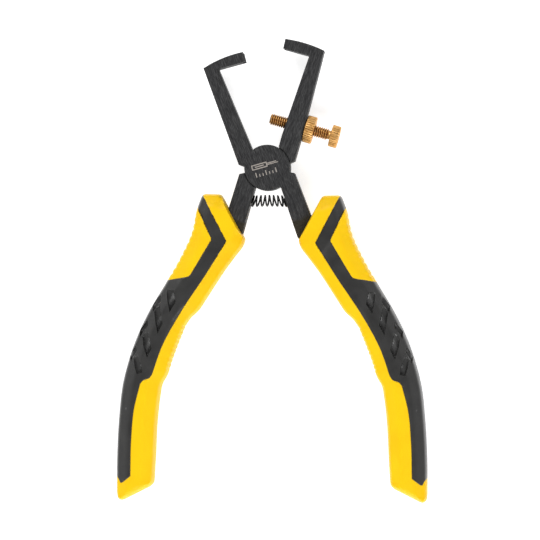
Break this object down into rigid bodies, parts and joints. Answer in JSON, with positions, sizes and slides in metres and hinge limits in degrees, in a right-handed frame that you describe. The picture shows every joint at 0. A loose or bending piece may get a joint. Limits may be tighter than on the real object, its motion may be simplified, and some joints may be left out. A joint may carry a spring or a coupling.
{
  "type": "wire stripper",
  "caption": "End wire stripper with lapped steel levers, V-notched hook jaws, a return spring, an adjusting screw with a lock nut, and two-material handles.",
  "frame": {"origin": "on the pivot axis, at the flat back face of the pivot boss", "axes": "+Y towards the jaws, +Z out of the front face along the pivot axis, +X to the side of the adjusting screw"},
  "size_m": [0.1009, 0.15, 0.015],
  "materials": {
    "lever_steel": "black phosphated forging with fine lengthwise grinding marks",
    "rivet_steel": "blackened, ground flush",
    "brass": "turned and straight knurled",
    "spring_steel": "black oiled spring wire",
    "hard_yellow": "satin hard plastic",
    "soft_black": "matte soft grip"
  },
  "bodies": {
    "rear_half": {"rear_lever": "lever_steel", "left_handle_core": "hard_yellow", "left_handle_grip": "soft_black", "spring_peg_left": "spring_steel", "return_spring": "spring_steel"},
    "front_half": {"front_lever": "lever_steel", "pivot_rivet": "rivet_steel", "right_handle_core": "hard_yellow", "right_handle_grip": "soft_black", "spring_peg_right": "spring_steel"},
    "screw": {"adjusting_screw": "brass"},
    "nut": {"lock_nut": "brass"}
  },
  "joints": [
    {"name": "jaw_pivot", "type": "hinge", "parent": "rear_half", "child": "front_half", "pos_m": [0, 0, 0.004], "axis": [0, 0, -1], "range_deg": [-13, 28], "stiffness_Nm_per_rad": 0.3, "deforming": ["return_spring"]},
    {"name": "screw_travel", "type": "slide", "parent": "rear_half", "child": "screw", "axis": [-0.9632, 0.2689, 0], "range_m": [-0.0055, 0.0012]},
    {"name": "nut_travel", "type": "slide", "parent": "rear_half", "child": "nut", "axis": [0.9632, -0.2689, 0], "range_m": [0, 0.0035]}
  ]
}
